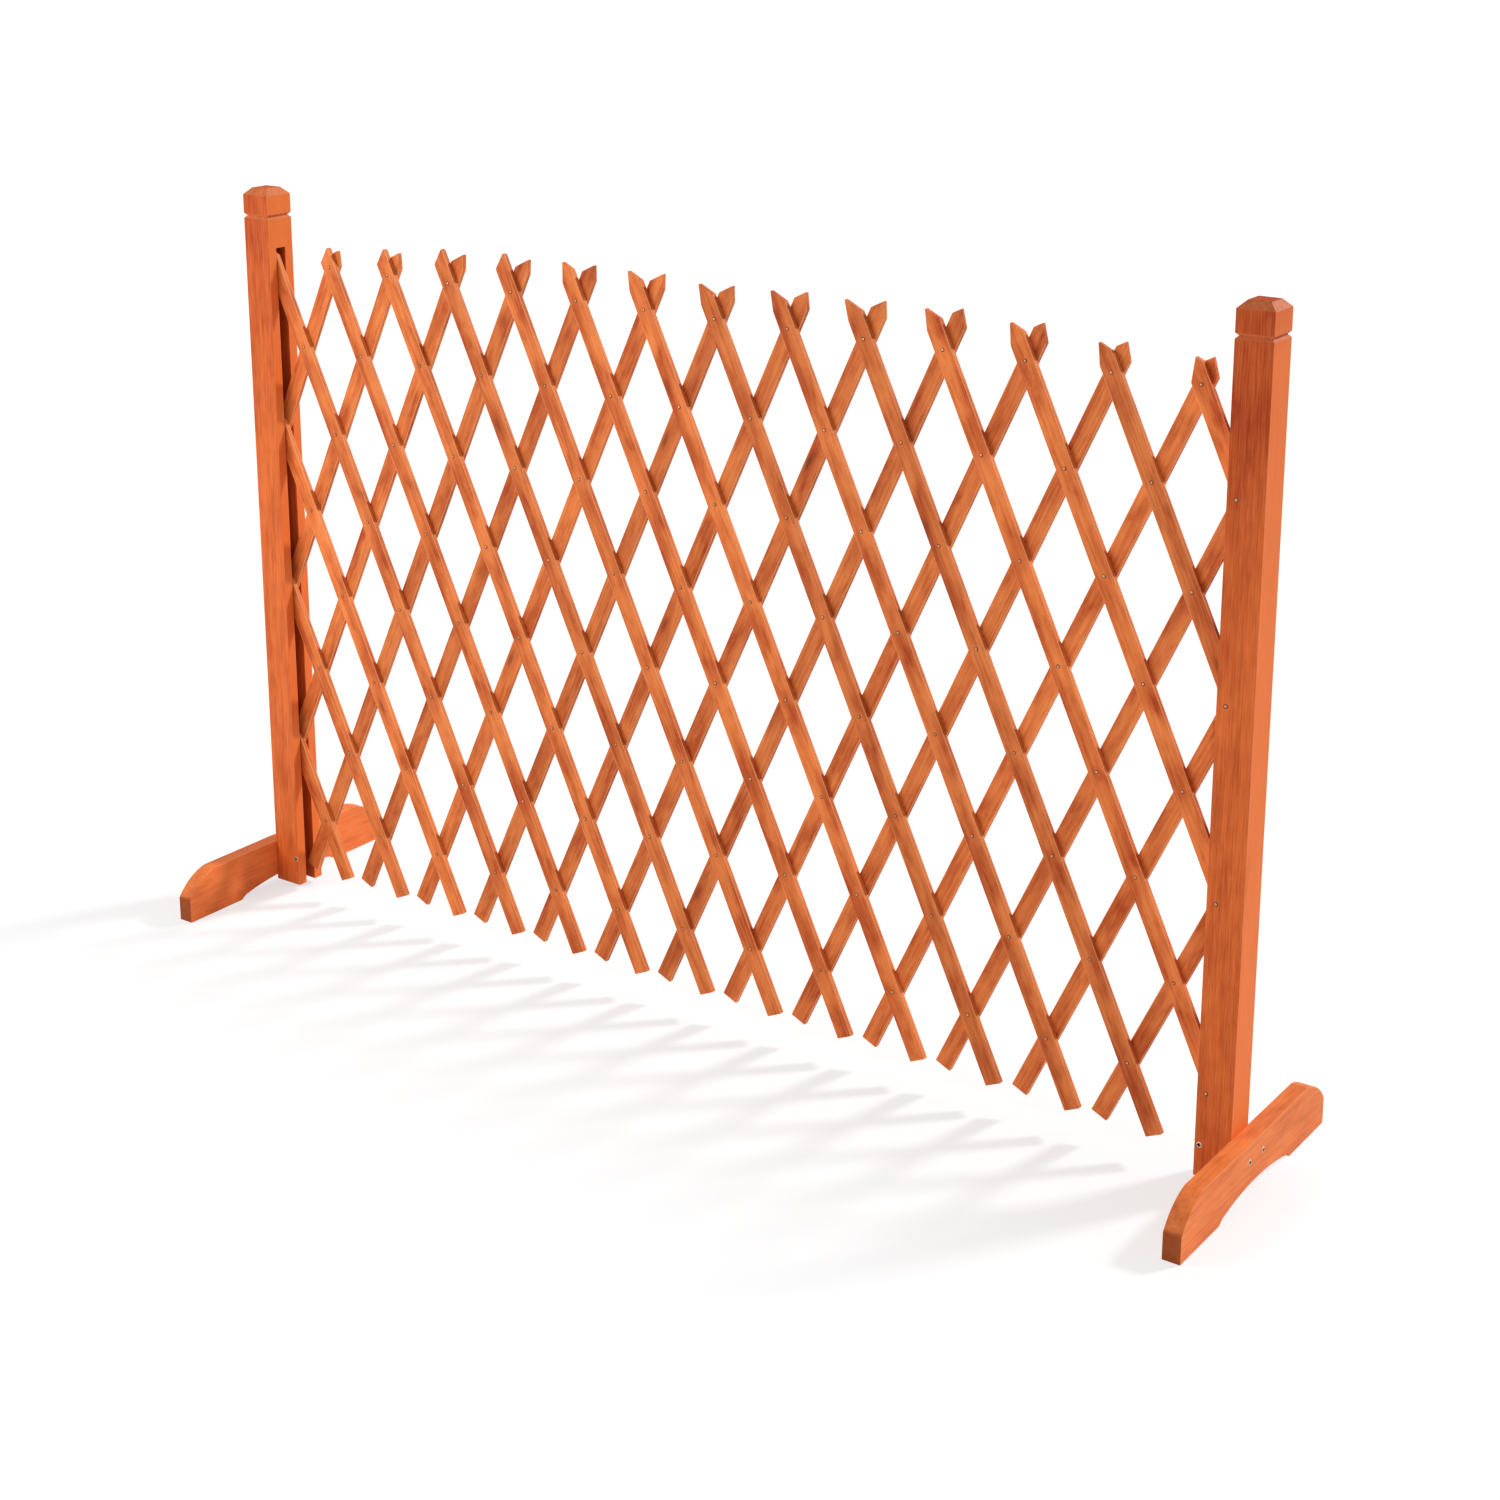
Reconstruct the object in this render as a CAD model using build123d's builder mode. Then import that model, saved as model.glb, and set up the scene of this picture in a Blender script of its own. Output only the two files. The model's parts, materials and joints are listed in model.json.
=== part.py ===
from build123d import *
import math
import os

os.makedirs("parts", exist_ok=True)

# An expandable lattice of crossed wooden slats, held at both ends in the slots of two
# square posts. X runs along the fence, the front is -Y, and the feet stand on Z = 0.
# All lengths are millimetres and the drawn pose is the one it stands in.

# Lattice: pivots lie on eight rows, half a pitch apart from one row to the next
pin_span = 114.0
lean_deg = 24.8
top_row_drop = 88.0
row_count = 8
bay_count = 13
slat_width = 20.0
slat_thickness = 6.0
layer_gap = 0.2

# Slat ends: a two-sided point above the top row, a square cut below the bottom row. The
# points are sawn by eye, so the place of the tip across the slat differs a little.
crown_reach = 46.0
front_outer_drop = 22.0
back_outer_drop = 16.5
crown_inner_slope_share = 1.25
turned_crown_drop = 13.0
turned_tip_setin = 2.0
tail_reach = 80.0
crown_shares = (0.48, 0.65, 0.86, 0.95, 1.0, 1.01, 0.91, 0.97, 1.0, 1.0, 0.9, 0.7, 0.59)
front_tip_shares = (0, 0, 0, 0, 0, 0.27, 0.36, 0.39, 0.52, 0.32, 0.16, 0.23, -0.4)
back_tip_shares = (0, 0.08, 0.31, 0.38, 0.2, 0.31, 0.2, 0.03, 0.14, -0.28, -0.3, -0.28, -0.38)
turned_columns = (1, 2, 3, 4)

# Rivets through every crossing, and nails of the same wire in the right post. Their
# round sections are drawn with few sides, because there are hundreds of them.
pin_radius = 1.1
pin_sides = 6
pivot_clearance = 0.06
rivet_head_radius = 2.5
rivet_head_height = 0.8
nail_head_radius = 2.6
nail_head_height = 0.6
short_nail_length = 11.0
pivot_nail_bite = 8.0
slide_pin_play = 0.2

# Posts
fence_height = 914.0
post_side = 40.0
post_lift = 8.0
head_chamfer = 8.0
groove_drop = 34.0
groove_width = 6.0
groove_depth = 3.0
pin_inset = 10.0
slot_side_clearance = 1.4
slot_back_clearance = 4.0
slot_headroom = 5.5

# Feet: a board on edge, screwed to the outer side of each post
foot_length = 343.0
foot_height = 60.0
foot_thickness = 20.0
nose_height = 30.0
nose_run = 45.0
nose_bulge = 5.5
pad_length = 87.0
arch_step = 5.0
arch_step_run = 8.0
arch_rise = 14.0

# Screws
screw_radius = 2.0
screw_sides = 12
screw_head_radius = 3.2
screw_head_depth = 2.4
screw_recess_radius = 1.3
screw_recess_depth = 1.6
screw_clearance = 0.06
foot_screw_length = 38.0
foot_screw_offset = 16.0
foot_screw_z = 39.0
post_screw_length = 11.0
post_screw_inset = 5.0
post_screw_z = 43.0

cut_overrun = 1.0

# Derived places
lean = math.radians(lean_deg)
pitch = 2 * pin_span * math.sin(lean)
row_drop = pin_span * math.cos(lean)
half_rows = 2 * bay_count + 1
pin_column_x = pitch * half_rows / 4
inner_face_x = pin_column_x - pin_inset
post_axis_x = inner_face_x + post_side / 2
outer_face_x = inner_face_x + post_side
foot_face_x = outer_face_x + foot_thickness
half_side = post_side / 2
half_slat = slat_width / 2
top_row_z = fence_height - top_row_drop
stack_half = layer_gap / 2 + slat_thickness
slot_width = 2 * (stack_half + slot_side_clearance)
slot_depth = pin_inset + half_slat + slot_back_clearance
slot_top_z = top_row_z + half_slat + slot_headroom
groove_z = fence_height - groove_drop
hole_radius = pin_radius + pivot_clearance
screw_hole_radius = screw_radius + screw_clearance
screw_head_hole_radius = screw_head_radius + screw_clearance


def pin_x(column):
    return pitch * column - pin_column_x


def pin_z(row):
    return top_row_z - row * row_drop


def crown_points(column, outward):
    # Local X runs down the slat from its top pivot; outward is the side that leans out.
    reach = crown_reach * crown_shares[column - 1]
    if outward < 0 and column in turned_columns:
        return [
            (turned_crown_drop - reach, -half_slat),
            (-reach, half_slat - turned_tip_setin),
            (turned_tip_setin - reach, half_slat),
        ]
    tip_share = front_tip_shares[column - 1] if outward < 0 else back_tip_shares[column - 1]
    outer_drop = front_outer_drop if outward < 0 else back_outer_drop
    inner_drop = crown_inner_slope_share * half_slat * (1 + tip_share)
    shoulders = [
        (outer_drop - reach, outward * half_slat),
        (-reach, outward * half_slat * tip_share),
        (inner_drop - reach, -outward * half_slat),
    ]
    return shoulders if outward < 0 else shoulders[::-1]


def build_slat(label, crossings, slope, crown_column, has_tail):
    # crossings are the (column, row) pivots from the top down; slope is +1 for the front
    # layer, whose slats run down to the right, and -1 for the back layer.
    column, row = crossings[0]
    rear_y = -layer_gap / 2 if slope > 0 else stack_half
    plane = Plane(
        origin=(pin_x(column), rear_y, pin_z(row)),
        x_dir=(slope * math.sin(lean), 0, -math.cos(lean)),
        z_dir=(0, -1, 0),
    )
    length = pin_span * (len(crossings) - 1)
    end = length + tail_reach if has_tail else length
    with BuildPart() as slat:
        with BuildSketch(plane) as outline:
            with BuildLine():
                if crown_column:
                    top = crown_points(crown_column, -slope)
                    Polyline(*top)
                else:
                    top = [(0, -half_slat), (0, half_slat)]
                    ThreePointArc(top[0], (-half_slat, 0), top[-1])
                if has_tail:
                    Polyline(top[-1], (end, half_slat), (end, -half_slat), top[0])
                else:
                    Line(top[-1], (end, half_slat))
                    ThreePointArc((end, half_slat), (end + half_slat, 0), (end, -half_slat))
                    Line((end, -half_slat), top[0])
            make_face()
            with Locations(*[(pin_span * i, 0) for i in range(len(crossings))]):
                RegularPolygon(hole_radius, pin_sides, major_radius=False, mode=Mode.SUBTRACT)
        extrude(amount=slat_thickness)
    slat.part.label = label
    export_step(slat.part, f"parts/{label}.step")
    return slat


def build_rivets(label, crossings):
    # Each rivet has a flat head on the front slat and a shank that ends flush at the back.
    places = [(pin_x(column), pin_z(row)) for column, row in crossings]
    with BuildPart() as rivets:
        with BuildSketch(Plane.XZ.offset(stack_half)):
            with Locations(*places):
                RegularPolygon(rivet_head_radius, pin_sides)
        extrude(amount=rivet_head_height)
        with BuildSketch(Plane.XZ.offset(-stack_half)):
            with Locations(*places):
                RegularPolygon(pin_radius, pin_sides)
        extrude(amount=2 * stack_half)
    rivets.part.label = label
    export_step(rivets.part, f"parts/{label}.step")
    return rivets


# Front layer: slat m has its pivots where column = m + row / 2
front_crossings = []
for m in range(-3, bay_count + 1):
    first = max(0, -2 * m)
    last = min(row_count - 1, half_rows - 2 * m)
    front_crossings.append([(m + row / 2, row) for row in range(first, last + 1)])

for number, crossings in enumerate(front_crossings, start=1):
    top_column, top_row = crossings[0]
    crown = int(top_column) if top_row == 0 and top_column > 0 else 0
    in_right_post = crossings[-1][0] > bay_count
    build_slat(f"front_slat_{number:02d}", crossings, 1, crown, not in_right_post)

# Back layer: slat n has its pivots where column = n - row / 2
back_crossings = []
for n in range(1, bay_count + 4):
    first = max(0, 2 * n - half_rows)
    last = min(row_count - 1, 2 * n)
    back_crossings.append([(n - row / 2, row) for row in range(first, last + 1)])

for number, crossings in enumerate(back_crossings, start=1):
    top_column, top_row = crossings[0]
    crown = int(top_column) if top_row == 0 else 0
    in_left_post = crossings[-1][0] == 0
    build_slat(f"back_slat_{number:02d}", crossings, -1, crown, not in_left_post)

# Rivets ride with the front slats, wherever a back slat crosses. The pivots at the very
# ends, in the top of each post's row, have a pin and a nail of their own.
crossed = {place for crossings in back_crossings for place in crossings}
right_pivot = (half_rows / 2, 1)
for number, crossings in enumerate(front_crossings, start=1):
    riveted = [place for place in crossings if place in crossed and place != right_pivot]
    build_rivets(f"rivets_{number:02d}", riveted)


def drill(plane, places, radius, sides, depth):
    # Cutters that go into a face along its inward normal; radius is the clear one inside
    with BuildPart() as cutters:
        with BuildSketch(plane):
            with Locations(*places):
                RegularPolygon(radius, sides, major_radius=False)
        extrude(amount=-depth)
    return cutters.part


def foot_screw_places():
    return [(y, foot_screw_z) for y in (-foot_screw_offset, foot_screw_offset)]


def side_plane(side, distance):
    # A plane square to the fence at this distance from its middle, facing outwards
    return Plane(origin=(side * distance, 0, 0), x_dir=(0, side, 0), z_dir=(side, 0, 0))


def nail_depth(row):
    # The top nail is the pivot and reaches into the rear flange; the others are short.
    return half_side + slot_width / 2 + pivot_nail_bite if row == 1 else short_nail_length


def build_post(label, side, nail_rows):
    # side is -1 for the left post and 1 for the right one. The slot opens towards the
    # lattice and through the bottom end.
    front = Plane.XZ.offset(half_side)
    screw_place = (side * (inner_face_x + post_screw_inset), post_screw_z)
    foot_bite = foot_screw_length - foot_thickness
    outer = side_plane(side, outer_face_x)
    holes = [
        drill(outer, foot_screw_places(), screw_hole_radius, screw_sides, foot_bite),
        drill(front, [screw_place], screw_hole_radius, screw_sides, post_screw_length),
        drill(front, [screw_place], screw_head_hole_radius, screw_sides, screw_head_depth),
    ]
    for row in nail_rows:
        nail_place = (side * pin_column_x, pin_z(row))
        holes.append(drill(front, [nail_place], hole_radius, pin_sides, nail_depth(row)))
    slot_height = slot_top_z - post_lift + cut_overrun
    with BuildPart() as post:
        with BuildSketch(Plane.XY.offset(post_lift)):
            with Locations((side * post_axis_x, 0)):
                Rectangle(post_side, post_side)
        extrude(amount=fence_height - post_lift)
        chamfer(post.faces().sort_by(Axis.Z)[-1].edges(), head_chamfer)
        for plane, middle in ((Plane.XZ, side * post_axis_x), (Plane.YZ, 0)):
            with BuildSketch(plane):
                for edge in (-1, 1):
                    rim = middle + edge * half_side
                    with BuildLine():
                        Polyline(
                            (rim, groove_z + groove_width / 2),
                            (rim - edge * groove_depth, groove_z),
                            (rim, groove_z - groove_width / 2),
                            close=True,
                        )
                    make_face()
            extrude(amount=foot_face_x, both=True, mode=Mode.SUBTRACT)
        with BuildSketch(side_plane(side, inner_face_x)):
            with Locations((0, slot_top_z - slot_height / 2)):
                Rectangle(slot_width, slot_height)
        extrude(amount=slot_depth, mode=Mode.SUBTRACT)
        add(holes, mode=Mode.SUBTRACT)
    post.part.label = label
    export_step(post.part, f"parts/{label}.step")
    return post


right_nail_rows = range(1, row_count, 2)
left_post = build_post("left_post", -1, ())
right_post = build_post("right_post", 1, right_nail_rows)


def build_foot(label, side):
    half_length = foot_length / 2
    arch_start = half_length - pad_length
    shoulder = half_length - nose_run
    nose_slope = math.hypot(nose_run, foot_height - nose_height)
    bulge_y = half_length - nose_run / 2 + nose_bulge * (foot_height - nose_height) / nose_slope
    bulge_z = (foot_height + nose_height) / 2 + nose_bulge * nose_run / nose_slope
    arch_end = arch_start - arch_step_run
    outer = side_plane(side, foot_face_x)
    holes = [
        drill(outer, foot_screw_places(), screw_hole_radius, screw_sides, foot_thickness),
        drill(outer, foot_screw_places(), screw_head_hole_radius, screw_sides, screw_head_depth),
    ]
    with BuildPart() as foot:
        with BuildSketch(side_plane(side, outer_face_x)):
            with BuildLine():
                Polyline((-shoulder, foot_height), (shoulder, foot_height))
                ThreePointArc((shoulder, foot_height), (bulge_y, bulge_z), (half_length, nose_height))
                Polyline((half_length, nose_height), (half_length, 0), (arch_start, 0), (arch_end, arch_step))
                ThreePointArc((arch_end, arch_step), (0, arch_rise), (-arch_end, arch_step))
                Polyline((-arch_end, arch_step), (-arch_start, 0), (-half_length, 0), (-half_length, nose_height))
                ThreePointArc((-half_length, nose_height), (-bulge_y, bulge_z), (-shoulder, foot_height))
            make_face()
        extrude(amount=foot_thickness)
        add(holes, mode=Mode.SUBTRACT)
    foot.part.label = label
    export_step(foot.part, f"parts/{label}.step")
    return foot


left_foot = build_foot("left_foot", -1)
right_foot = build_foot("right_foot", 1)


def build_screws(label, plane, places, length):
    # A screw sits flush in its counterbore, with a six-sided drive recess in the head.
    recesses = drill(plane, places, screw_recess_radius, pin_sides, screw_recess_depth)
    with BuildPart() as screws:
        with BuildSketch(plane):
            with Locations(*places):
                RegularPolygon(screw_head_radius, screw_sides)
        extrude(amount=-screw_head_depth)
        with BuildSketch(plane.offset(-screw_head_depth)):
            with Locations(*places):
                RegularPolygon(screw_radius, screw_sides)
        extrude(amount=screw_head_depth - length)
        add(recesses, mode=Mode.SUBTRACT)
    screws.part.label = label
    export_step(screws.part, f"parts/{label}.step")
    return screws


for label, side in (("left", -1), ("right", 1)):
    foot_face = side_plane(side, foot_face_x)
    build_screws(f"{label}_foot_screws", foot_face, foot_screw_places(), foot_screw_length)
    post_place = (side * (inner_face_x + post_screw_inset), post_screw_z)
    build_screws(f"{label}_post_screw", Plane.XZ.offset(half_side), [post_place], post_screw_length)

# Nails in the right post: the top one runs through both flanges and is the pivot that
# carries the lattice, the other three end inside the front flange
with BuildPart() as right_post_nails:
    for row in right_nail_rows:
        with BuildSketch(Plane.XZ.offset(half_side)):
            with Locations((pin_column_x, pin_z(row))):
                RegularPolygon(nail_head_radius, pin_sides)
        extrude(amount=nail_head_height)
        with BuildSketch(Plane.XZ.offset(half_side)):
            with Locations((pin_column_x, pin_z(row))):
                RegularPolygon(pin_radius, pin_sides)
        extrude(amount=-nail_depth(row))
right_post_nails.part.label = "right_post_nails"
export_step(right_post_nails.part, "parts/right_post_nails.step")

# Pin that rides up and down in the left slot and carries the end of the first full slat
slide_pin_half = slot_width / 2 - slide_pin_play
with BuildPart() as left_slide_pin:
    with BuildSketch(Plane.XZ.offset(-slide_pin_half)):
        with Locations((-pin_column_x, top_row_z)):
            RegularPolygon(pin_radius, pin_sides)
    extrude(amount=2 * slide_pin_half)
    for start, thickness in ((-slide_pin_half, slide_pin_half), (stack_half, slide_pin_half - stack_half)):
        with BuildSketch(Plane.XZ.offset(start)):
            with Locations((-pin_column_x, top_row_z)):
                RegularPolygon(rivet_head_radius, pin_sides)
        extrude(amount=thickness)
left_slide_pin.part.label = "left_slide_pin"
export_step(left_slide_pin.part, "parts/left_slide_pin.step")
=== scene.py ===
import json
import math
import random

import bpy
from mathutils import Matrix, Vector


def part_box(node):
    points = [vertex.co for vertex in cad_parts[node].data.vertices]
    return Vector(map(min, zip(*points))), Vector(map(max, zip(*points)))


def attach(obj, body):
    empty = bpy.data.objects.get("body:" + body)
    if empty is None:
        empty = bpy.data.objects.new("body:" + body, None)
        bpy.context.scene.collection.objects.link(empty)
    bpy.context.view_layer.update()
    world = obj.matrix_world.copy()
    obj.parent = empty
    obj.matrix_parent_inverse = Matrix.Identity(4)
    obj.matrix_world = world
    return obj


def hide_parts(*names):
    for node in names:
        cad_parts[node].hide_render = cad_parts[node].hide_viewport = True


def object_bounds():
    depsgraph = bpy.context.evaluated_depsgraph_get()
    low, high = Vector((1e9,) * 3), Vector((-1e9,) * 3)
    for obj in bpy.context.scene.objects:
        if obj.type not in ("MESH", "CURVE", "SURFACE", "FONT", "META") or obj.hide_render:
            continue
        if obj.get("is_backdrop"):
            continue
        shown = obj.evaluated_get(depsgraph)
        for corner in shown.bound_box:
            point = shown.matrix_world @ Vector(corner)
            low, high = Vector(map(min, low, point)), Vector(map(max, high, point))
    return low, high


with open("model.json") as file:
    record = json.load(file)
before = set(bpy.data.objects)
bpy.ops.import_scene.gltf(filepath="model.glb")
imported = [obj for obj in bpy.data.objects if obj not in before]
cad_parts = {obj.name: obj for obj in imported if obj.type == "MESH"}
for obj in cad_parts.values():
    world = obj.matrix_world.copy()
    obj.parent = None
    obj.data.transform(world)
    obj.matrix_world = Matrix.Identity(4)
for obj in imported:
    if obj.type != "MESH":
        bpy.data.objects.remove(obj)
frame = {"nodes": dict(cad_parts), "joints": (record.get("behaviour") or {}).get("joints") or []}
nodes = frame["nodes"]
cad_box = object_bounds()

# Front slats: seventeen sawn softwood laths that run down to the right, with forked or
# pointed heads and square tails. They were dipped in an orange-brown stain, which takes
# unevenly from one lath to the next, and their edges are lightly sanded.
MM = 0.001
turning_points = {joint["name"]: Vector(joint["pos_m"]) for joint in frame["joints"] if "pos_m" in joint}
slat_run = turning_points["front_slat_16_turn"] - turning_points["fold"]
slat_lean = math.atan2(abs(slat_run.x), abs(slat_run.z))
slat_stain = {
    "pale": (0.98, 0.282, 0.070),
    "deep": (0.42, 0.046, 0.003),
    "ring_gap": 3.8 * MM,
    "rings": 0.12,
    "streaks": 0.14,
    "fibres": 0.2,
    "clouds": 0.52,
    "patches": 0.24,
    "knots": 0.36,
    "ends": 0.3,
    "arris_wear_and_highlight": 0.8,
    "chamfer_wear_and_highlight": 0.0,
    "pale_and_lit_sides": 0.0,
    "sheen": 0.2,
}
# Paler colour for sanded arrises and chamfers, partly bare wood and partly a painted highlight
worn_and_highlight_colour = (1.0, 0.42, 0.18)
knot_and_shade_brown = (0.14, 0.018, 0.003)
sanded_edge = 0.75 * MM
sanded_angle = math.radians(35)
sanded_segments = 2
weld_reach = 0.005 * MM
stain_seed = 11
front_tones = (0.86, 1.06)

# Repeats per metre of each pattern, across the grain both ways and along it
knot_cells = (34, 9, 9)
ring_bends = (30, 30, 4)
streak_scale = (240, 240, 11)
fibre_scale = (1100, 1100, 34)
cloud_scale = (42, 30, 13)
patch_scale = (110, 110, 42)
grain_shift = 5.0
pith_aside = 0.03
pith_depths = (0.012, 0.05)
ring_wander = 0.011
ring_swell = 0.004
grain_relief = 0.25 * MM


class Shade:
    """An output socket of a shader node, which can be used in arithmetic."""

    def __init__(self, tree, socket=None):
        self.tree = tree
        self.socket = socket

    def add(self, kind, settings, values, output=0):
        """Adds a node: its settings first, then the values or links of its sockets."""
        node = self.tree.nodes.new("ShaderNode" + kind)
        for name, value in settings.items():
            setattr(node, name, value)
        for key, value in values.items():
            if isinstance(value, Shade):
                self.tree.links.new(value.socket, node.inputs[key])
            else:
                node.inputs[key].default_value = value
        return Shade(self.tree, node.outputs[output])

    def other(self, output):
        """Another output of the same node."""
        return Shade(self.tree, self.socket.node.outputs[output])

    def drive(self, surface, name):
        self.tree.links.new(self.socket, surface.inputs[name])

    def maths(self, operation, first, second=0.0):
        return self.add("Math", {"operation": operation}, {0: first, 1: second})

    def __add__(self, other):
        return self.maths("ADD", self, other)

    def __radd__(self, other):
        return self.maths("ADD", other, self)

    def __sub__(self, other):
        return self.maths("SUBTRACT", self, other)

    def __rsub__(self, other):
        return self.maths("SUBTRACT", other, self)

    def __mul__(self, other):
        return self.maths("MULTIPLY", self, other)

    def __rmul__(self, other):
        return self.maths("MULTIPLY", other, self)

    def __pow__(self, other):
        return self.maths("POWER", self, other)

    def noise(self, scale, detail=2.0):
        """Noise on this position, stretched by a different scale along each axis."""
        stretched = self.add("Mapping", {}, {"Vector": self, "Scale": scale})
        return self.add("TexNoise", {}, {"Vector": stretched, "Scale": 1.0, "Detail": detail})

    def between(self, low, high):
        """Rises smoothly from 0 to 1 as the value goes from low to high."""
        limits = {"Value": self, "From Min": low, "From Max": high}
        return self.add("MapRange", {"interpolation_type": "SMOOTHSTEP"}, limits)

    def blend(self, first, second):
        """Mixes two colours by this value."""
        return self.add("Mix", {"data_type": "RGBA"}, {0: self, 6: first, 7: second}, output=2)


def new_material(name):
    material = bpy.data.materials.new(name)
    material.use_nodes = True
    return material, Shade(material.node_tree), material.node_tree.nodes["Principled BSDF"]


def stained_wood(board, turn, flat, seed, tone, stain, slot=0, upper_shade=0):
    """Softwood under a satin stain, for the named CAD board. turn is the rotation about X
    and Y that stands the board's grain upright, so that local Z runs along it, and flat is
    the axis that its wide faces look along. The stain's shares say how far each feature
    shows. The shares for arrises and chamfers paint those edges paler, partly wear and
    partly a painted highlight, and the share for the sides paints the faces across X
    paler, partly a lighter stain and partly painted light and sheen. slot is the side, -1
    or 1, on which the board has a slot whose inside is painted darker as painted shade,
    and the last argument says how much darker the upper part is painted, a painted shade
    where less light reaches it."""
    material, shade, surface = new_material(board + "_wood")
    luck = random.Random(seed)
    pale = (*(tone * channel for channel in stain["pale"]), 1)
    deep = (*(tone * channel for channel in stain["deep"]), 1)
    knot_and_shade = (*(tone * channel for channel in knot_and_shade_brown), 1)
    worn_and_highlit = (*(tone * channel for channel in worn_and_highlight_colour), 1)
    low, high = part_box(board)
    upright = Matrix.Rotation(turn[1], 3, "Y") @ Matrix.Rotation(turn[0], 3, "X")
    shift = -(upright @ ((low + high) / 2))
    shift.z += luck.uniform(-grain_shift, grain_shift)
    turned = {"Rotation": (*turn, 0), "Location": shift}
    where = shade.add("TexCoord", {}, {}, output="Object")
    place = shade.add("Mapping", {}, {"Vector": where, **turned})
    across = shade.add("SeparateXYZ", {}, {0: place}, output="X")
    deep_in = across.other("Y")

    # Knots are few and longer than wide, and the rings swell round them
    cells = shade.add("Mapping", {}, {"Vector": place, "Scale": knot_cells})
    cell = shade.add("TexVoronoi", {}, {"Vector": cells, "Scale": 1.0}, output="Distance")
    chance = shade.add("SeparateColor", {}, {0: cell.other("Color")}, output="Red")
    has_knot = chance.between(1 - stain["knots"], 1 - 0.9 * stain["knots"])
    knot_core = (1 - cell.between(0.04, 0.17)) * has_knot
    knot_halo = (1 - cell.between(0.08, 0.5)) * has_knot

    # Growth rings stand round a pith that lies beside the board
    pith_x = luck.uniform(-pith_aside, pith_aside)
    pith_y = luck.choice((-1, 1)) * luck.uniform(*pith_depths)
    wander = place.noise(ring_bends)
    reach = ((across - pith_x) ** 2 + (deep_in - pith_y) ** 2) ** 0.5
    bent = reach + ring_wander * wander + ring_swell * knot_halo
    rings = bent * (2 * math.pi / stain["ring_gap"])
    late = (shade.maths("SINE", rings) * 0.5 + 0.5) ** 2.2

    # Cut ends drink more stain and turn darker. Sanded arrises and chamfers are painted
    #     paler, partly wear that took off some stain and partly a painted highlight on the edges
    along = upright.inverted() @ Vector((0, 0, 1))
    facing = shade.add("TexCoord", {}, {}, output="Normal")
    end_on = shade.add("VectorMath", {"operation": "DOT_PRODUCT"}, {0: facing, 1: along}, output="Value")
    end_on = shade.maths("ABSOLUTE", end_on)
    cut_end = end_on.between(0.75, 0.95)
    sideways = shade.maths("ABSOLUTE", shade.add("SeparateXYZ", {}, {0: facing}, output="X"))
    flatness = shade.maths("ABSOLUTE", shade.add("SeparateXYZ", {}, {0: facing}, output=flat))
    arris = flatness.between(0.15, 0.3) * flatness.between(0.985, 0.94) * end_on.between(0.35, 0.2)
    chamfer = end_on.between(0.45, 0.6) * end_on.between(0.9, 0.8)
    wear_and_highlight = arris * stain["arris_wear_and_highlight"] + chamfer * stain["chamfer_wear_and_highlight"]

    # The stain lies in fine streaks along the grain, in soft clouds, and darker in spots
    streak = place.noise(streak_scale, detail=4.0)
    fibre = place.noise(fibre_scale, detail=3.0)
    cloud = place.noise(cloud_scale, detail=3.0)
    patch = place.noise(patch_scale)
    height = shade.add("SeparateXYZ", {}, {0: where}, output="Z")
    darkness = late * stain["rings"] + streak.between(0.3, 0.72) * stain["streaks"]
    darkness = darkness + fibre.between(0.3, 0.7) * stain["fibres"]
    darkness = darkness + cloud.between(0.36, 0.72) * stain["clouds"]
    darkness = darkness + patch.between(0.42, 0.75) * stain["patches"]
    # Painted shade: the upper part is painted darker, where less light from the white floor reaches it
    if upper_shade:
        darkness = darkness + height.between(*upper_shade_rise) * upper_shade
    # Painted light: the faces across X are painted paler, partly a lighter stain and partly painted light
    # and sheen on those sides
    darkness = darkness * (1 - sideways.between(0.75, 0.95) * stain["pale_and_lit_sides"])
    grained = darkness.blend(pale, deep)
    smudged = (knot_halo * 0.45).blend(grained, deep)
    knotted = (knot_core * 0.8).blend(smudged, knot_and_shade)
    ended = (cut_end * stain["ends"]).blend(knotted, knot_and_shade)
    # Painted highlight: arrises and chamfers are blended towards the pale colour, partly wear and partly
    # painted light
    base_colour = wear_and_highlight.blend(ended, worn_and_highlit)
    # Painted shade: the inside of the slot is painted darker, towards the knot brown, standing in for the
    # shade in it
    if slot:
        inward = slot * across
        within = shade.maths("ABSOLUTE", deep_in).between(slot_half + slot_shade_edge, slot_half + slot_shade_core)
        within = within * inward.between(slot_floor - slot_shade_edge, slot_floor - slot_shade_core)
        within = within * inward.between(slot_mouth, slot_mouth - slot_shade_fade)
        within = within * height.between(slot_top + slot_shade_edge, slot_top + slot_shade_core)
        base_colour = (within * stain["slot_shade"]).blend(base_colour, knot_and_shade)
    base_colour.drive(surface, "Base Color")

    (0.46 + streak * 0.16 + late * 0.08 + cut_end * 0.2).drive(surface, "Roughness")
    relief = fibre * 0.5 + streak * 0.4 - late * 0.35 - knot_core * 0.5
    bump = shade.add("Bump", {}, {"Height": relief, "Strength": 0.5, "Distance": grain_relief})
    bump.drive(surface, "Normal")
    surface.inputs["Specular IOR Level"].default_value = stain["sheen"]
    return material


def finish_board(board, wood):
    """Stains a CAD board and sands its edges round."""
    for slot in nodes[board].material_slots:
        slot.material = wood
    joined = nodes[board].modifiers.new("joined", "WELD")
    joined.merge_threshold = weld_reach
    sanded = nodes[board].modifiers.new("sanded", "BEVEL")
    sanded.width = sanded_edge
    sanded.segments = sanded_segments
    sanded.limit_method = "ANGLE"
    sanded.angle_limit = sanded_angle


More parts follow.
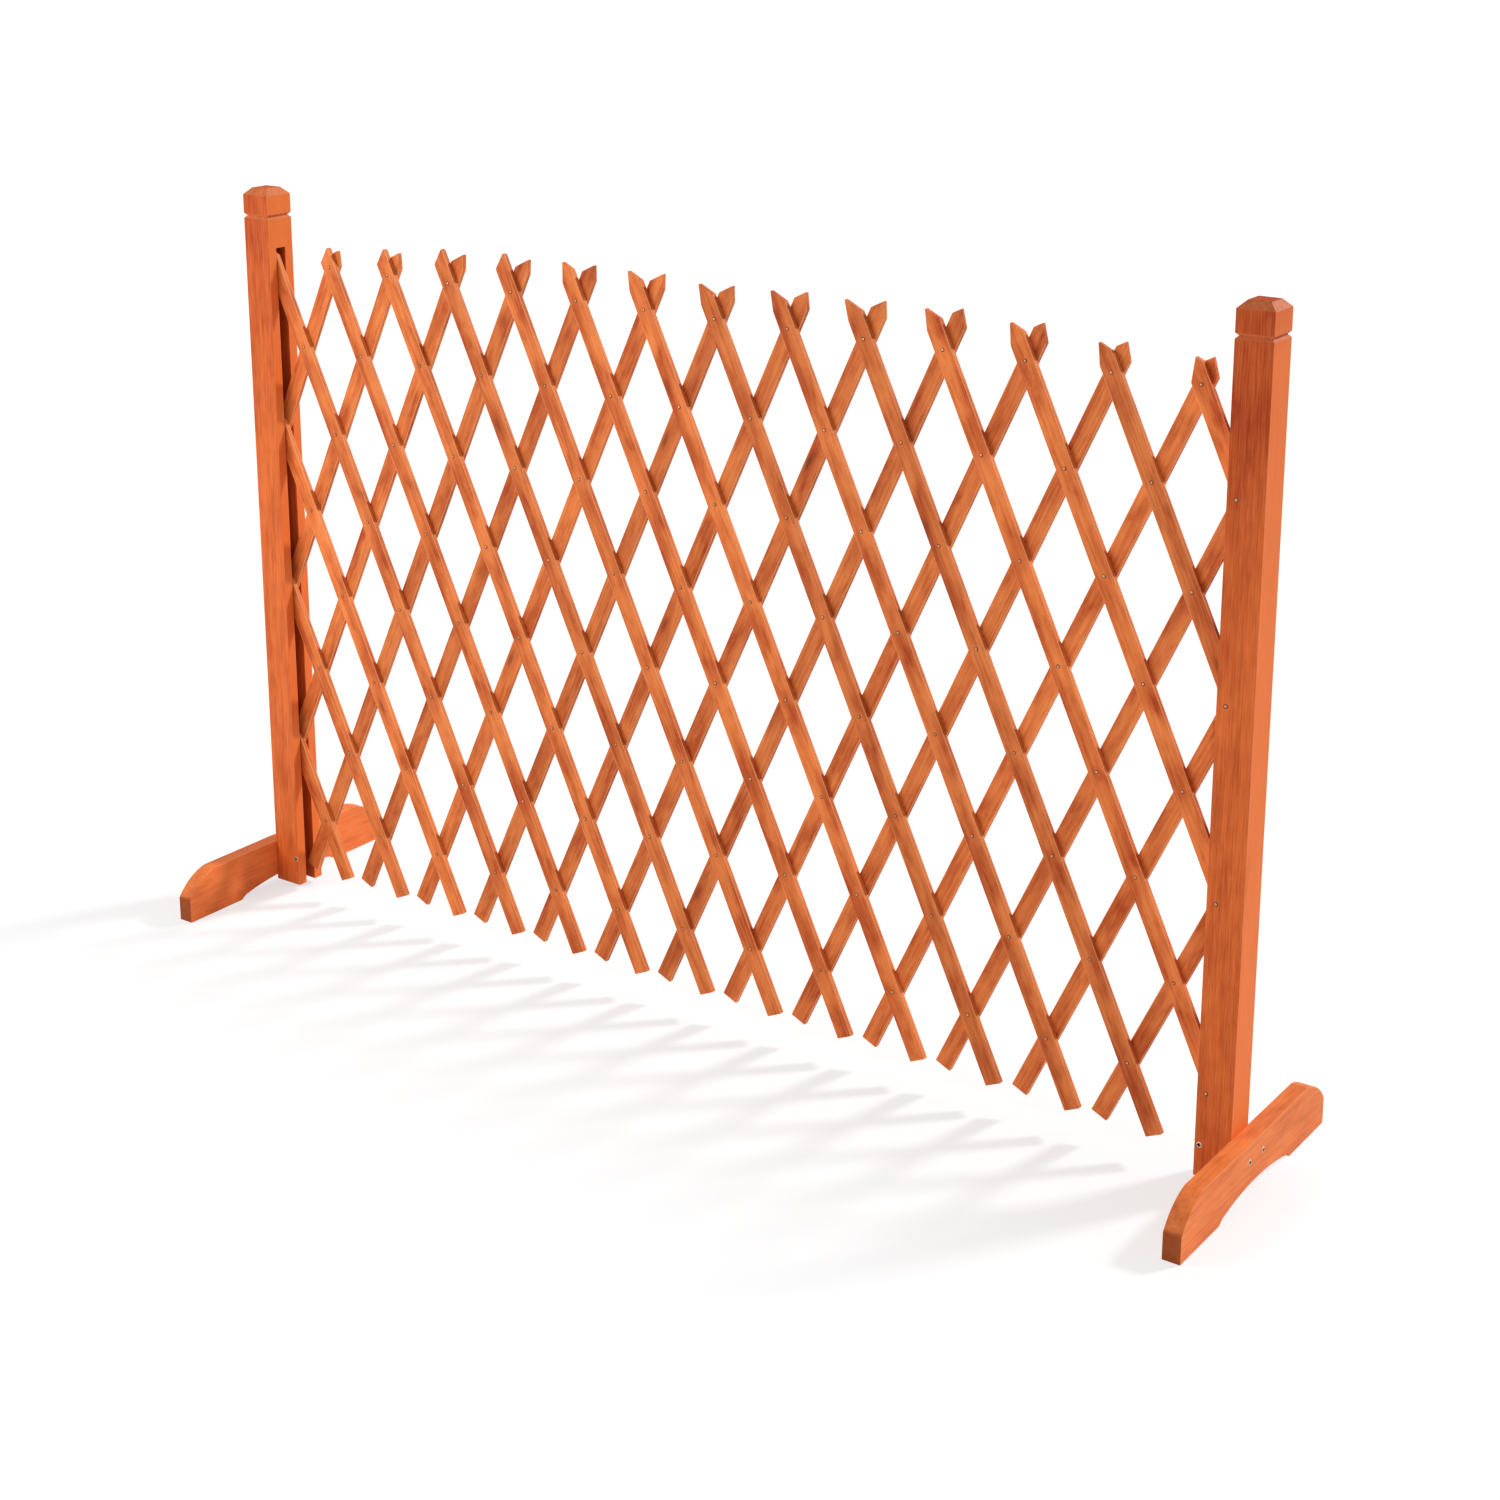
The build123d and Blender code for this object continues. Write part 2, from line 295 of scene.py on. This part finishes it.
front_slats = sorted(name for name in nodes if name.startswith("front_slat"))
stain_luck = random.Random(stain_seed)
for number, slat in enumerate(front_slats):
    tone = stain_luck.uniform(*front_tones)
    wood = stained_wood(slat, (0, slat_lean), "Y", number, tone, slat_stain)
    finish_board(slat, wood)

# Back slats: sixteen more of the same laths behind the front ones, which run down to the
# left. They are of the same wood and stain.
back_tones = (0.84, 1.04)
back_slats = sorted(name for name in nodes if name.startswith("back_slat"))
for number, slat in enumerate(back_slats, start=len(front_slats)):
    tone = stain_luck.uniform(*back_tones)
    wood = stained_wood(slat, (0, -slat_lean), "Y", number, tone, slat_stain)
    finish_board(slat, wood)

# Rivets: a small domed and dimpled steel head in front of every crossing, on a shank that
# goes through both slats and is peened over behind them. They have dulled.
rivet_sides = 10
rivet_shank = 1.1 * MM
rivet_head = [(2.25, 0), (2.05, 0.3), (1.45, 0.05), (1.25, 0.25), (0.7, 0.2)]
rivet_rim = 1.35 * MM
rivet_peen = [(1.9, 0), (1.3, 0.45)]
rivet_steel_colour = (0.72, 0.36, 0.17)
rivet_tarnish = (0.34, 0.13, 0.05)
# Dark colour for the rim of the rivet and nail heads, partly dirt and partly painted shade where the head
# meets the wood
rivet_grime_and_shade = (0.20, 0.052, 0.016)
rivet_dullness = 0.34
head_reach = 3 * MM
head_smoothing = 30
pin_spacing = 6 * MM
steel_clouds = (420, 420, 420)
steel_specks = (2600, 2600, 2600)
steel_relief = 0.05 * MM
grime_crumbs = (900, 900, 900)
grime_relief = 0.08 * MM


def plated_steel(name, colour, tarnish, dullness):
    """Zinc-plated wire that has dulled, darker in patches."""
    material, shade, surface = new_material(name)
    where = shade.add("TexCoord", {}, {}, output="Object")
    cloud = where.noise(steel_clouds, detail=3.0)
    speck = where.noise(steel_specks)
    cloud.between(0.4, 0.68).blend((*colour, 1), (*tarnish, 1)).drive(surface, "Base Color")
    (dullness + cloud * 0.2).drive(surface, "Roughness")
    bump = shade.add("Bump", {}, {"Height": speck, "Strength": 0.3, "Distance": steel_relief})
    bump.drive(surface, "Normal")
    surface.inputs["Metallic"].default_value = 0.75
    return material


def grime_and_shade(name, colour):
    """Dark stain and dirt on a metal head, which also stands as painted shade round the rim of a rivet or
    nail head and in the recess of a screw.
    """
    material, shade, surface = new_material(name)
    where = shade.add("TexCoord", {}, {}, output="Object")
    crumb = where.noise(grime_crumbs, detail=3.0)
    thick = (*(0.5 * channel for channel in colour), 1)
    crumb.between(0.4, 0.65).blend((*colour, 1), thick).drive(surface, "Base Color")
    (0.62 + crumb * 0.25).drive(surface, "Roughness")
    bump = shade.add("Bump", {}, {"Height": crumb, "Strength": 0.4, "Distance": grime_relief})
    bump.drive(surface, "Normal")
    return material


def start_pin(radius, length, sides, metal, dirt_and_shade):
    """A plain shank along Y that starts at the origin."""
    bpy.ops.object.select_all(action="DESELECT")
    lying = {"location": (0, length / 2, 0), "rotation": (math.radians(90), 0, 0)}
    bpy.ops.mesh.primitive_cylinder_add(vertices=sides, radius=radius, depth=length, **lying)
    bpy.ops.object.transform_apply(location=True, rotation=True, scale=True)
    pin = bpy.context.active_object
    pin.data.materials.append(metal)
    pin.data.materials.append(dirt_and_shade)
    return pin


def paint_dirt_and_shade(pin, inner, outer, front, rear):
    """Puts the dark material on the faces between two radii and between two depths; it is partly dirt and
    partly painted shade.
    """
    for face in pin.data.polygons:
        radius = math.hypot(face.center.x, face.center.z)
        face.material_index = inner < radius < outer and front < face.center.y < rear


def edit_end(piece, end):
    """Opens the piece for editing, with only the face at its front end (-1) or its rear end
    (1) selected."""
    bpy.context.tool_settings.mesh_select_mode = (False, False, True)
    bpy.ops.object.mode_set(mode="EDIT")
    bpy.ops.mesh.select_all(action="DESELECT")
    bpy.ops.object.mode_set(mode="OBJECT")
    last = max(piece.data.polygons, key=lambda face: end * face.center.y)
    last.select = True
    bpy.ops.object.mode_set(mode="EDIT")


def upset(pin, radius, end, profile):
    """Spreads one end of the pin, the front (-1) or the rear (1), into the profile of
    (radius, step outwards) in millimetres. radius is the end's own before this."""
    edit_end(pin, end)
    for wide, step in profile:
        bpy.ops.mesh.extrude_region_move(TRANSFORM_OT_translate={"value": (0, end * step * MM, 0)})
        ratio = wide * MM / radius
        bpy.ops.transform.resize(value=(ratio, 1, ratio), center_override=(0, 0, 0))
        radius = wide * MM
    bpy.ops.object.mode_set(mode="OBJECT")


def smooth(piece, degrees):
    bpy.ops.object.select_all(action="DESELECT")
    piece.select_set(True)
    bpy.context.view_layer.objects.active = piece
    bpy.ops.object.shade_smooth_by_angle(angle=math.radians(degrees))


def pin_boxes(group, axis):
    """The lowest and highest corner of each pin of a CAD group. The pins run along the
    axis (0 for X, 1 for Y) and stand well apart."""
    boxes = []
    for corner in (vertex.co for vertex in nodes[group].data.vertices):
        for low, high in boxes:
            crosswise = (i for i in range(3) if i != axis)
            if all(low[i] - pin_spacing < corner[i] < high[i] + pin_spacing for i in crosswise):
                low[:] = map(min, low, corner)
                high[:] = map(max, high, corner)
                break
        else:
            boxes.append((list(corner), list(corner)))
    return [(Vector(low), Vector(high)) for low, high in boxes]


def copied(piece, name, place):
    twin = bpy.data.objects.new(name, piece.data.copy())
    bpy.context.scene.collection.objects.link(twin)
    twin.data.transform(place)
    return twin


def fasten(name, twins, body, group):
    """Joins the copies into one piece, which stands for the CAD group."""
    bpy.ops.object.select_all(action="DESELECT")
    for twin in twins:
        twin.select_set(True)
    bpy.context.view_layer.objects.active = twins[0]
    if len(twins) > 1:
        bpy.ops.object.join()
    piece = bpy.context.active_object
    piece.name = name
    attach(piece, body)
    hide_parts(group)


front_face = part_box("front_slat_08")[0].y
rear_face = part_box("back_slat_08")[1].y
rivet_steel = plated_steel("rivet_steel", rivet_steel_colour, rivet_tarnish, rivet_dullness)
rivet_dirt_and_shade = grime_and_shade("rivet_dirt_and_shade", rivet_grime_and_shade)
rivet = start_pin(rivet_shank, rear_face - front_face, rivet_sides, rivet_steel, rivet_dirt_and_shade)
upset(rivet, rivet_shank, -1, rivet_head)
upset(rivet, rivet_shank, 1, rivet_peen)
# Painted shade: the outer rim of the head takes the dark material, partly dirt and partly painted shade
# round the head
paint_dirt_and_shade(rivet, rivet_rim, head_reach, -head_reach, 0)
smooth(rivet, head_smoothing)
for slat in front_slats:
    group = slat.replace("front_slat", "rivets")
    twins = []
    for low, high in pin_boxes(group, 1):
        middle = (low + high) / 2
        place = Matrix.Translation((middle.x, front_face, middle.z))
        twins.append(copied(rivet, group, place))
    fasten("domed_" + group, twins, slat, group)
bpy.data.objects.remove(rivet)

# Posts: square softwood, planed, with a chamfered head, a V-groove under it and a deep
# slot for the ends of the slats. The stain shows their straight grain.
post_stain = {
    "pale": (0.89, 0.200, 0.041),
    "deep": (0.38, 0.040, 0.003),
    "ring_gap": 3.2 * MM,
    "rings": 0.08,
    "streaks": 0.22,
    "fibres": 0.28,
    "clouds": 0.2,
    "patches": 0.14,
    "knots": 0.08,
    "ends": 0.1,
    "arris_wear_and_highlight": 0.3,
    "chamfer_wear_and_highlight": 0.22,
    "pale_and_lit_sides": 0.8,
    "slot_shade": 0.35,
    "sheen": 0.18,
}
slot_half = 7.5 * MM
slot_floor = -4 * MM
slot_mouth = 20 * MM
slot_top = 841.5 * MM
# How the painted shade inside the slot fades in from its walls, floor and mouth
slot_shade_edge = 0.3 * MM
slot_shade_core = 0.1 * MM
slot_shade_fade = 4 * MM
# Heights over which the posts' upper part is painted darker, a painted shade, and how much for each post
upper_shade_rise = (0.52, 0.84)
posts = (("left_post", 1, 0.24), ("right_post", -1, 0.4))
for number, (post, slot, upper_shade) in enumerate(posts, start=50):
    wood = stained_wood(post, (0, 0), "Y", number, 1.0, post_stain, slot, upper_shade)
    finish_board(post, wood)

# Nails in the right post: domed wire nails. The top one goes on through the slot and is
# the pivot that carries the lattice, and the others end in the front of the post.
nail_head = [(2.6, 0), (2.3, 0.3), (1.5, 0.05), (1.2, 0.2), (0.5, 0.05)]
nail_rim = 1.35 * MM
nail_point = [(0.3, 1.2)]
nail_sides = 16
post_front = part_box("right_post")[0].y
nail_group = "right_post_nails"
twins = []
for low, high in pin_boxes(nail_group, 1):
    shank = high.y - post_front - nail_point[0][1] * MM
    nail = start_pin(rivet_shank, shank, nail_sides, rivet_steel, rivet_dirt_and_shade)
    upset(nail, rivet_shank, -1, nail_head)
    upset(nail, rivet_shank, 1, nail_point)
    # The same dark rim, partly dirt and partly painted shade, on each nail head
    paint_dirt_and_shade(nail, nail_rim, head_reach, -head_reach, 0)
    smooth(nail, head_smoothing)
    middle = (low + high) / 2
    twins.append(copied(nail, nail_group, Matrix.Translation((middle.x, post_front, middle.z))))
    bpy.data.objects.remove(nail)
fasten("domed_" + nail_group, twins, "right_post_assembly", nail_group)

# Slide pin: a turned pin in the slot of the left post, on which the end of the first full
# slat rides up and down. A collar fills the space behind the slat.
slide_low, slide_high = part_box("left_slide_pin")
slide_radius = 2.5
slide_rim_radius = 2.1
slide_head_side = 0.8
slide_head_rim = (front_face - slide_low.y) / MM - slide_head_side
slide_collar_rim = 0.4
slide_collar_side = slide_high.y / MM - slide_collar_rim
slide_smoothing = 50
slide_head = [(slide_radius, 0), (slide_radius, slide_head_side), (slide_rim_radius, slide_head_rim)]
slide_collar = [(slide_radius, 0), (slide_radius, slide_collar_side), (slide_rim_radius, slide_collar_rim)]
slide_pin = start_pin(rivet_shank, -front_face, nail_sides, rivet_steel, rivet_dirt_and_shade)
upset(slide_pin, rivet_shank, -1, slide_head)
upset(slide_pin, rivet_shank, 1, slide_collar)
smooth(slide_pin, slide_smoothing)
middle = (slide_low + slide_high) / 2
slide_twin = copied(slide_pin, "slide", Matrix.Translation((middle.x, front_face, middle.z)))
fasten("turned_slide_pin", [slide_twin], "left_slide_pin", "left_slide_pin")
bpy.data.objects.remove(slide_pin)

# Feet: boards on edge, sawn to a rounded nose at both ends and an arch between two pads,
# and screwed to the outer side of each post. Their grain runs from front to back.
foot_stain = {
    "pale": (0.96, 0.260, 0.066),
    "deep": (0.48, 0.070, 0.008),
    "ring_gap": 3.6 * MM,
    "rings": 0.06,
    "streaks": 0.2,
    "fibres": 0.2,
    "clouds": 0.26,
    "patches": 0.18,
    "knots": 0.12,
    "ends": 0.68,
    "arris_wear_and_highlight": 0.2,
    "chamfer_wear_and_highlight": 0.0,
    "pale_and_lit_sides": 0.1,
    "sheen": 0.2,
}
foot_turn = (math.radians(90), 0)
for number, foot in enumerate(("left_foot", "right_foot"), start=60):
    wood = stained_wood(foot, foot_turn, "X", number, 1.0, foot_stain)
    finish_board(foot, wood)

# Screws: zinc-plated, with a flat head let in flush and a cross recess. Two hold each foot
# and one sits low on the front of each post.
screw_sides = 32
screw_shank = 1.9 * MM
screw_head = [(2.2, 0.2), (3.2, 1.4), (3.2, 0.5), (2.9, 0.3)]
screw_head_depth = sum(step for wide, step in screw_head) * MM
screw_point = [(0.3, 2.0)]
recess_reach = 2.3 * MM
recess_width = 2.0 * MM
recess_depth = 1.6 * MM
recess_taper = 0.5
recess_margin = 0.1 * MM
recess_depth_margin = 0.01 * MM
driver_proud = 0.2 * MM
screw_zinc = (0.84, 0.68, 0.48)
screw_tarnish = (0.48, 0.36, 0.25)
# Nearly black colour for the cross recess, partly dirt and partly the shade in the recess, painted
screw_grime_and_shade = (0.045, 0.017, 0.009)
screw_dullness = 0.3
screw_steel = plated_steel("screw_steel", screw_zinc, screw_tarnish, screw_dullness)
screw_dirt_and_shade = grime_and_shade("screw_dirt_and_shade", screw_grime_and_shade)


def make_screw(length):
    """A screw along Y whose head looks forwards at Y = 0."""
    shank = length - screw_head_depth - screw_point[0][1] * MM
    screw = start_pin(screw_shank, shank, screw_sides, screw_steel, screw_dirt_and_shade)
    upset(screw, screw_shank, -1, screw_head)
    upset(screw, screw_shank, 1, screw_point)
    screw.data.transform(Matrix.Translation((0, screw_head_depth, 0)))
    for turn in (0, 90):
        bpy.ops.object.select_all(action="DESELECT")
        bpy.ops.mesh.primitive_cube_add(size=1, location=(0, (recess_depth - driver_proud) / 2, 0))
        driver = bpy.context.active_object
        driver.scale = (2 * recess_reach, recess_depth + driver_proud, recess_width)
        driver.rotation_euler.y = math.radians(turn)
        bpy.ops.object.transform_apply(location=True, rotation=True, scale=True)
        edit_end(driver, 1)
        bpy.ops.transform.resize(value=(recess_taper, 1, recess_taper), center_override=(0, 0, 0))
        bpy.ops.object.mode_set(mode="OBJECT")
        cut = screw.modifiers.new("recess", "BOOLEAN")
        cut.object = driver
        cut.operation = "DIFFERENCE"
        cut.solver = "EXACT"
        bpy.ops.object.select_all(action="DESELECT")
        screw.select_set(True)
        bpy.context.view_layer.objects.active = screw
        bpy.ops.object.modifier_apply(modifier=cut.name)
        bpy.data.objects.remove(driver)
    # Painted shade: the faces of the cross recess are painted nearly black, partly dirt and partly painted
    # shade
    deepest = recess_depth + recess_depth_margin
    paint_dirt_and_shade(screw, 0, recess_reach + recess_margin, recess_depth_margin, deepest)
    smooth(screw, head_smoothing)
    return screw


for side, outward in (("left", -1), ("right", 1)):
    body = side + "_post_assembly"

    group = side + "_foot_screws"
    low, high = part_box(group)
    foot_side = high.x if outward > 0 else low.x
    foot_screw = make_screw(high.x - low.x)
    twins = []
    for low, high in pin_boxes(group, 0):
        middle = (low + high) / 2
        aside = Matrix.Rotation(outward * math.radians(90), 4, "Z")
        place = Matrix.Translation((foot_side, middle.y, middle.z)) @ aside
        twins.append(copied(foot_screw, group, place))
    fasten("cross_" + group, twins, body, group)
    bpy.data.objects.remove(foot_screw)

    group = side + "_post_screw"
    low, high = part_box(group)
    middle = (low + high) / 2
    post_screw = make_screw(high.y - low.y)
    twin = copied(post_screw, group, Matrix.Translation((middle.x, low.y, middle.z)))
    fasten("cross_" + group, [twin], body, group)
    bpy.data.objects.remove(post_screw)

# The studio: a white paper floor that carries the shadow, a key light from behind on the
# right, a softbox in front on the left, white all round, and the camera in front on the
# right.
floor_size = 160.0
shadow_share = 0.38
shadow_front = (-0.72, -0.02)
shadow_back = (0.16, -0.02)
shadow_left = (-1.6, -0.8)
shadow_right = (0.82, 0.7)
paper_colour = (0.92, 0.92, 0.92, 1)
paper_glow = 1.05
bpy.ops.object.select_all(action="DESELECT")
bpy.ops.mesh.primitive_plane_add(size=floor_size)
floor = bpy.context.active_object
floor.name = "floor"
paper = bpy.data.materials.new("white_paper")
paper.use_nodes = True
paper.node_tree.nodes.clear()
shade = Shade(paper.node_tree)
seen = shade.add("LightPath", {}, {}, output="Is Camera Ray")
seen = seen + seen.other("Is Glossy Ray") + seen.other("Is Transmission Ray")
along = shade.add("SeparateXYZ", {}, {0: shade.add("TexCoord", {}, {}, output="Object")}, output="X")
forward = along.other("Y")
near = forward.between(*shadow_front) * forward.between(*shadow_back)
near = near * along.between(*shadow_left) * along.between(*shadow_right)
matt = shade.add("BsdfDiffuse", {}, {"Color": paper_colour})
glow = shade.add("Emission", {}, {"Color": (1, 1, 1, 1), "Strength": paper_glow})
lit_paper = shade.add("MixShader", {}, {0: seen * (1 - shadow_share * near), 1: matt, 2: glow})
lit_paper.drive(paper.node_tree.nodes.new("ShaderNodeOutputMaterial"), "Surface")
floor.data.materials.append(paper)
floor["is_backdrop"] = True

key_strength = 2.6
key_softness = math.radians(8)
key_turn = math.radians(31.2)
key_height = math.radians(36.8)
level = math.cos(key_height)
towards_key = Vector((level * math.sin(key_turn), level * math.cos(key_turn), math.sin(key_height)))
bpy.ops.object.light_add(type="SUN", location=2 * towards_key)
key = bpy.context.active_object
key.name = "key_light"
key.data.energy = key_strength
key.data.angle = key_softness
key.rotation_euler = (-towards_key).to_track_quat("-Z", "Y").to_euler()

softbox_place = Vector((-1.6, -1.9, 1.7))
softbox_target = Vector((-0.2, 0, 0.45))
softbox_power = 37
softbox_size = 1.6
bpy.ops.object.light_add(type="AREA", location=softbox_place)
softbox = bpy.context.active_object
softbox.name = "softbox"
softbox.data.energy = softbox_power
softbox.data.size = softbox_size
softbox.rotation_euler = (softbox_target - softbox_place).to_track_quat("-Z", "Y").to_euler()

fill_strength = 0.34
studio = bpy.data.worlds.new("studio")
studio.use_nodes = True
studio.node_tree.nodes.clear()
bpy.context.scene.world = studio
shade = Shade(studio.node_tree)
seen = shade.add("LightPath", {}, {}, output="Is Camera Ray")
seen = seen + seen.other("Is Glossy Ray") + seen.other("Is Transmission Ray")
white = {"Color": (1, 1, 1, 1), "Strength": fill_strength + (1 - fill_strength) * seen}
shade.add("Background", {}, white).drive(studio.node_tree.nodes.new("ShaderNodeOutputWorld"), "Surface")

camera_place = (1.614, -2.188, 1.341)
camera_dip = math.radians(14.923)
camera_turn = math.radians(35.258)
camera_lens = 61.045
camera_sensor = 36
camera_shift = -0.165
bpy.ops.object.camera_add(location=camera_place)
camera = bpy.context.active_object
camera.rotation_euler = (math.radians(90) - camera_dip, 0, camera_turn)
camera.data.lens = camera_lens
camera.data.sensor_width = camera_sensor
camera.data.sensor_fit = "HORIZONTAL"
camera.data.shift_y = camera_shift
camera.data.clip_end = 2 * floor_size
bpy.context.scene.camera = camera
bpy.context.scene.view_settings.view_transform = "Standard"

boxes = {"cad": cad_box, "visual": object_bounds()}
{name: [list(corner) for corner in box] for name, box in boxes.items()}
